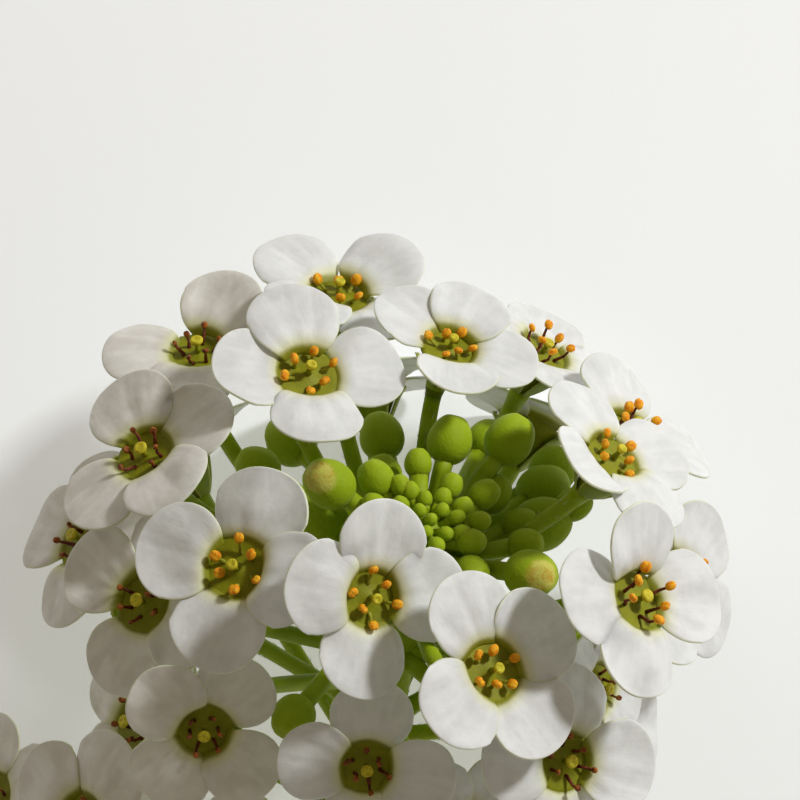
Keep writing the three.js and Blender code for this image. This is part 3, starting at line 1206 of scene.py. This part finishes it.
@dataclass
class Stem:
    """The bent stem with every pedicel and calyx, and the hairs on them."""

    seed: int = 77
    radius: float = 0.6
    sides: int = 20
    steps: int = 60
    # How much thinner the stem's top end is, and how much its thickness wavers.
    top_radius: float = 0.8
    waver: float = 0.03
    # The drop of the stem's top end and of the start of its bend, and how much of it lies on the table.
    top: float = 5.0
    bend_from: float = 9.6
    lies: float = 8.98
    # The height of its middle line where it lies.
    rest: float = 0.612
    calyx_foot: float = -1.8
    pedicel_radius: float = 0.26
    pedicel_sides: int = 12
    pedicel_steps: int = 14
    # How much thicker a pedicel is under its flower and where it leaves the stem.
    top_swell: float = 0.35
    root_swell: float = 0.5
    # How far below its flower a pedicel leaves the stem, for each millimetre of the flower's reach.
    fall: float = 0.45
    # How far a pedicel keeps straight behind its flower, as a share of its length.
    knee: float = 0.25
    sepal_cells: tuple[int, int] = (6, 8)
    sepal_thickness: float = 0.07
    sepal_hollow: float = 0.42
    sepal_leans: Span = (-0.05, 0.07)
    sepal_widths: Span = (0.9, 1.08)
    # Distance from the middle, height and half width of a sepal, from its foot to its tip.
    sepal: tuple[tuple[float, float, float], ...] = (
        (0.24, -1.76, 0.16),
        (0.47, -1.46, 0.34),
        (0.70, -1.08, 0.44),
        (0.90, -0.70, 0.45),
        (1.07, -0.44, 0.35),
        (1.20, -0.33, 0.14),
    )
    # Radius and height of the pale disc that the cut leaves on the stem's end.
    cut: Profile = (
        (0, 0.013),
        (0.30, 0.013),
        (0.50, 0.013),
        (0.55, 0.003),
        (0.54, -0.1),
        (0, -0.1),
    )
    cut_sides: int = 24
    stem_hairs: int = 420
    pedicel_hairs: int = 34
    # The step of the stem that its hairs start from, under the buds.
    hair_start: int = 4
    # A hair's length and what that is multiplied by, its radius at both ends, and how far it stands off.
    hair: float = 0.28
    hair_sizes: Span = (0.6, 1.2)
    hair_root: float = 0.013
    hair_tip: float = 0.002
    hair_stands: Span = (0.18, 0.5)
    # No hair stands lower than this, where the stem lies on the table.
    hair_floor: float = 0.15

    def bend(self) -> tuple[Vector, float, float]:
        """Work out the arc between the stem's straight part and the part that lies.

        Returns:
            Where it starts, its radius, and its angle in radians.
        """
        start = HEAD.point(0, 0, self.bend_from)
        angle = math.radians(90 - HEAD.lean)
        return start, (start.z - self.rest) / (1 - math.cos(angle)), angle

    def along(self, distance: float) -> Vector:
        """Find the stem's middle line.

        Args:
            distance: How far from its top end.

        Returns:
            The point: straight down the axis, round the bend, or where the stem lies.
        """
        past = distance - (self.bend_from - self.top)
        if past <= 0:
            return HEAD.point(0, 0, self.top + distance)
        start, radius, angle = self.bend()
        down = HEAD.direction(0, 180)
        ahead = Vector((down.x, down.y, 0)).normalized()
        left = max(angle - past / radius, 0.0)
        beyond = max(past - radius * angle, 0.0)
        point = start + ahead * (radius * (math.sin(angle) - math.sin(left)) + beyond)
        point.z = self.rest + radius * (1 - math.cos(left))
        return point

    def length(self) -> float:
        """The stem's length."""
        _, radius, angle = self.bend()
        return self.bend_from - self.top + radius * angle + self.lies

    def pedicel(self, spot: Spot) -> list[Vector]:
        """Find a pedicel's line.

        Args:
            spot: Its flower.

        Returns:
            Points from the calyx to the stem.
        """
        place = spot.matrix()
        _, reach, drop = spot.at
        top = place @ Vector((0, 0, self.calyx_foot + 0.1))
        root = self.along(max(0.5, drop + self.fall * reach - self.top + 1))
        knee = place @ Vector((0, 0, self.calyx_foot - self.knee * (top - root).length))
        parts = [i / self.pedicel_steps for i in range(self.pedicel_steps + 1)]
        return [top * (1 - t) ** 2 + knee * 2 * t * (1 - t) + root * t**2 for t in parts]

    def add_sepal(self, body: Body, place: Matrix, dice: random.Random) -> None:
        """Add one sepal.

        Args:
            body: The stem.
            place: The sepal's frame.
            dice: Where its small differences come from.
        """
        lean, wide = dice.uniform(*self.sepal_leans), dice.uniform(*self.sepal_widths)

        def shape(v: float, u: float) -> Vector:
            """Hollow one point of the grid, and draw its tip in.

            Args:
                v: Its place across, from -1 to 1.
                u: Its place along, from 0 to 1.

            Returns:
                Where it goes.
            """
            reach, height, half = through(self.sepal, u)
            y = wide * half * (v + (math.sin(v * math.pi / 2) - v) * u)
            hollow = self.sepal_hollow * y * y
            reach += lean * u - hollow * 0.8 - (0.12 * v**2 if u > 0.99 else 0)
            return Vector((reach, y, height + hollow * 0.6))

        body.plate(self.sepal_cells, shape, self.sepal_thickness, Finish.SEPAL, place)

    def add_hairs(
        self, body: Body, line: Sequence[Vector], radius: float, count: int, dice: random.Random
    ) -> None:
        """Scatter hairs along a green tube.

        Args:
            body: The hairs.
            line: The tube's middle line.
            radius: Its radius.
            count: How many hairs.
            dice: Where they stand.
        """
        part = body.part()
        for _ in range(count):
            t = dice.uniform(0.02, 0.98) * (len(line) - 1)
            i = min(int(t), len(line) - 2)
            way = (line[i] - line[i + 1]).normalized()
            root = line[i].lerp(line[i + 1], t - i)
            out = Matrix.Rotation(dice.uniform(0, 2 * math.pi), 3, way) @ way.orthogonal().normalized()
            if (root + out * radius).z < self.hair_floor:
                continue
            stand = dice.uniform(*self.hair_stands)
            size = self.hair * dice.uniform(*self.hair_sizes)
            foot = aim(root + out * (radius - 0.01), way + out * stand, out)
            bmesh.ops.create_cone(
                part,
                cap_ends=True,
                segments=3,
                radius1=self.hair_root,
                radius2=self.hair_tip,
                depth=size,
                matrix=foot @ Matrix.Translation((0, 0, size / 2)),
            )
        body.join(part, Finish.HAIR)

    def build(self) -> None:
        """Build the stem and its hairs."""
        body, hairs = Body(), Body()
        dice = random.Random(self.seed)
        total = self.length()
        line = [self.along(total * i / self.steps) for i in range(self.steps + 1)]
        thick = [self.radius * (0.99 - self.waver * math.sin(i * 0.9)) for i in range(self.steps + 1)]
        thick[0] = self.radius * self.top_radius
        body.sweep(line, thick, self.sides, Finish.STEM)
        end = aim(line[-1], line[-1] - line[-2], Vector((0, 0, 1)))
        body.lathe(self.cut, self.cut_sides, Finish.CUT, end)
        self.add_hairs(hairs, line[self.hair_start :], self.radius * 0.97, self.stem_hairs, dice)
        for spot in SPOTS:
            for quarter in range(4):
                self.add_sepal(body, spot.calyx() @ turn_about("Z", 90 * quarter), dice)
            path = self.pedicel(spot)
            last = len(path) - 1
            swell = [
                1 + self.top_swell * ease(2.5, 0, i) + self.root_swell * ease(last - 2, last, i)
                for i in range(len(path))
            ]
            radii = [self.pedicel_radius * part for part in swell]
            body.sweep(path, radii, self.pedicel_sides, Finish.STEM)
            self.add_hairs(hairs, path, self.pedicel_radius, self.pedicel_hairs, dice)
        body.piece("stem_fine", "stem_green", ["stem"])
        hairs.piece("stem_hairs", "stem_green")


# ---- The buds --------------------------------------------------------------------------------------------


@dataclass(frozen=True)
class Bud:
    """One bud's azimuth, distance from the axis, drop and diameter, and how far it has opened."""

    azimuth: float
    reach: float
    drop: float
    size: float
    opening: float = 0.0


@dataclass
class BudCluster:
    """The unopened buds at the tip, on short stalks from one core."""

    seed: int = 31
    # A stalk's radius at most, and beside the diameter of its bud.
    stalk: float = 0.24
    stalk_share: float = 0.28
    stalk_sides: int = 8
    stalk_steps: int = 5
    # How far below its bud a stalk leaves the core, for each millimetre of reach, and the lowest place.
    fall: float = 0.45
    lowest: float = 4.3
    # How many of the youngest buds there are, and the angle between one and the next.
    young: int = 17
    golden: float = 137.5
    # Reach and diameter of the first of them, and how both grow.
    first_reach: float = 0.1
    reach_growth: float = 0.29
    first_size: float = 0.4
    size_growth: float = 0.013
    # The drop of a bud in the middle, and how much more it is for each millimetre of reach.
    young_drop: float = 1.75
    young_fall: float = 0.05
    # From this diameter on a bud has more faces and deeper seams.
    big: float = 0.8
    big_rings: tuple[int, int] = (28, 18)
    small_rings: tuple[int, int] = (16, 11)
    big_seam: float = 0.07
    small_seam: float = 0.045
    seam_width: float = 0.3
    # How far a bud opens towards its tip and how far straight up.
    to_tip: float = 0.5
    to_sky: float = 0.8
    # Radius and height of the core.
    core: Profile = (
        (0, -4.55),
        (0.42, -4.5),
        (0.62, -3.2),
        (0.7, -2.3),
        (0.4, -2.08),
        (0, -2.0),
    )
    core_sides: int = 16
    large: tuple[Bud, ...] = (
        Bud(171, 3.2, 1.7, 1.5, 1.0),
        Bud(145, 2.2, 1.9, 1.1),
        Bud(106, 2.3, 1.9, 0.85),
        Bud(87, 3.5, 2.0, 1.4),
        Bud(63, 4.4, 1.9, 1.5),
        Bud(45, 2.2, 1.9, 0.9),
        Bud(-16, 1.5, 1.9, 0.85),
        Bud(-38, 2.1, 2.2, 1.0),
        Bud(5, 3.1, 2.3, 1.0),
        Bud(-19, 3.6, 1.9, 1.5, 1.0),
        # a ring of small ones inside them
        Bud(133, 1.5, 1.8, 0.65),
        Bud(72, 1.6, 1.8, 0.75),
        Bud(13, 1.6, 1.8, 0.65),
        Bud(-72, 1.7, 2.0, 0.75),
        Bud(-112, 1.7, 2.0, 0.75),
        Bud(-152, 1.8, 2.0, 0.75),
        Bud(172, 1.7, 1.9, 0.7),
        # a deeper layer, seen between the others
        Bud(115, 4.5, 3.2, 1.4),
        Bud(76, 5.5, 3.8, 1.25),
        Bud(36, 5.4, 3.4, 1.05),
        Bud(31, 3.3, 3.2, 1.1),
        Bud(56, 3.2, 3.1, 1.2),
        Bud(122, 3.0, 3.1, 1.1),
        Bud(-62, 2.9, 3.1, 1.1),
        Bud(-104, 2.7, 3.1, 1.1),
        Bud(-146, 3.0, 3.1, 1.1),
        # the deepest ones, on long stalks in the gaps between the flowers
        Bud(132, 7.0, 5.6, 1.6),
        Bud(157, 5.9, 3.8, 1.3),
        Bud(52, 5.5, 4.4, 1.6),
        Bud(58, 6.8, 5.0, 1.5),
        Bud(35, 4.3, 3.8, 1.7),
        Bud(167, 3.3, 3.8, 1.6),
        Bud(-113, 7.0, 4.4, 1.3),
        Bud(-13, 5.5, 4.4, 1.5),
    )

    def buds(self) -> list[Bud]:
        """List every bud.

        Returns:
            The larger ones first, and then the spiral of the youngest.
        """
        made = list(self.large)
        for i in range(self.young):
            reach = self.first_reach + self.reach_growth * math.sqrt(i)
            drop = self.young_drop + self.young_fall * reach
            made.append(Bud(i * self.golden, reach, drop, self.first_size + self.size_growth * i))
        return made

    def add_bud(self, body: Body, bud: Bud, dice: random.Random) -> None:
        """Add one bud and its stalk.

        Args:
            body: The cluster.
            bud: The bud.
            dice: Where its small differences come from.
        """
        middle = HEAD.point(bud.azimuth, bud.reach, bud.drop)
        root = HEAD.point(0, 0, min(self.lowest, bud.drop + self.fall * bud.reach + 0.3))
        facing = (middle - root).normalized()
        half = bud.size / 2
        place = aim(middle, facing, HEAD.direction(bud.azimuth, 90)) @ turn_about("Z", dice.uniform(0, 90))
        sky = place.to_3x3().inverted() @ Vector((0, 0, self.to_sky))
        splits = (Vector((0, 0, self.to_tip)) + sky).normalized()
        big = bud.size > self.big
        depth, twist = (self.big_seam if big else self.small_seam), dice.uniform(0, 0.5)

        def shape(p: Vector) -> tuple[Vector, Sequence[float]]:
            """Press the seams into one point of the ball, and draw the ball out into an egg.

            Args:
                p: The point.

            Returns:
                Where it goes, and its fields.
            """
            across = math.sin(2 * (math.atan2(p.y, p.x) + twist * p.z))
            seam = dip(across, self.seam_width) * ease(-0.5, 0.4, p.z)
            pale = dip(across, 0.22 + 0.4 * bud.opening) * ease(-0.1, 0.8, p.z)
            tip = ease(0.85, 1.0, p.z)
            pressed = 1 - depth * seam * (1 - tip)
            egg = 1.0 - 0.1 * p.z
            moved = Vector((p.x * pressed * egg, p.y * pressed * egg, p.z * 1.16 - 0.09 * tip))
            # The first field, the height on the bud, carries the bud's painted light and shade.
            return moved, (ease(-0.6, 1.15, p.z), pale, bud.opening * ease(0.45, 0.95, p.dot(splits)))

        rings = self.big_rings if big else self.small_rings
        body.ball(rings, Finish.BUD, place @ Matrix.Scale(half, 4), shape)
        thin = min(self.stalk, bud.size * self.stalk_share)
        steps = range(self.stalk_steps + 1)
        line = [root.lerp(middle - facing * half * 0.7, i / self.stalk_steps) for i in steps]
        thick = [thin * (1 + 0.25 * ease(2, self.stalk_steps, i)) for i in steps]
        body.sweep(line, thick, self.stalk_sides, Finish.STEM)

    def build(self) -> None:
        """Build the cluster."""
        body = Body()
        dice = random.Random(self.seed)
        body.lathe(self.core, self.core_sides, Finish.STEM, HEAD.matrix())
        for bud in self.buds():
            self.add_bud(body, bud, dice)
        body.piece("bud_cluster_fine", "bud_green", ["bud_cluster"])


# ---- The studio ------------------------------------------------------------------------------------------


@dataclass
class Studio:
    """A pale table, a soft key light, an even sky, and the camera straight above the head."""

    # Half the table's width, and the camera's near and far limit, in metres.
    table: float = 0.6
    clip: Span = (0.01, 10.0)
    key_at: tuple[float, float, float] = (173, 155, 138)
    key_size: float = 30.0
    key_power: float = 0.47
    key_colour: Colour = (0.99, 1.0, 1.0)
    sky_power: float = 0.22
    sky_colour: Colour = (1.0, 0.86, 0.65)
    eye: tuple[float, float, float] = (2.25, 11.99, 183.4)
    lens: float = 255.0
    sensor: float = 36.0

    def set_table(self) -> None:
        """Set up the table."""
        bm = bmesh.new()
        bmesh.ops.create_grid(bm, x_segments=8, y_segments=8, size=self.table)
        mesh = bpy.data.meshes.new("tabletop")
        bm.to_mesh(mesh)
        bm.free()
        mesh.materials.append(Finish.FLOOR.material())
        show("tabletop", mesh)

    def light(self) -> None:
        """Hang a square lamp that looks at the head, and light the sky."""
        lamp = bpy.data.lights.new("key", "AREA")
        lamp.size, lamp.energy, lamp.color = self.key_size * MM, self.key_power, self.key_colour
        key = show("key", lamp)
        key.location = Vector(self.key_at) * MM
        key.rotation_euler = (key.location - Vector(HEAD.at) * MM).to_track_quat("Z", "Y").to_euler()
        world = bpy.data.worlds.new("studio")
        world.use_nodes = True
        sky = world.node_tree.nodes["Background"].inputs
        sky["Color"].default_value = (*self.sky_colour, 1.0)
        sky["Strength"].default_value = self.sky_power
        bpy.context.scene.world = world

    def hang_camera(self) -> None:
        """Hang the camera, which looks straight down."""
        view = bpy.data.cameras.new("camera")
        view.lens, view.sensor_width = self.lens, self.sensor
        view.clip_start, view.clip_end = self.clip
        camera = show("camera", view)
        camera.location = Vector(self.eye) * MM
        bpy.context.scene.camera = camera
        bpy.context.scene.view_settings.view_transform = "Standard"

    def build(self) -> None:
        """Build the studio."""
        self.set_table()
        self.light()
        self.hang_camera()


# ---- The whole head --------------------------------------------------------------------------------------


def main() -> None:
    """Build the flower head and its studio."""
    logging.basicConfig(level=logging.INFO, format="%(message)s")
    Studio().build()
    Stem().build()
    BudCluster().build()
    corolla, heart = Corolla(), Heart()
    for number, spot in enumerate(SPOTS, 1):
        corolla.build(spot, number)
        heart.build(spot, number)
    bpy.context.view_layer.update()


if __name__ == "__main__":
    main()
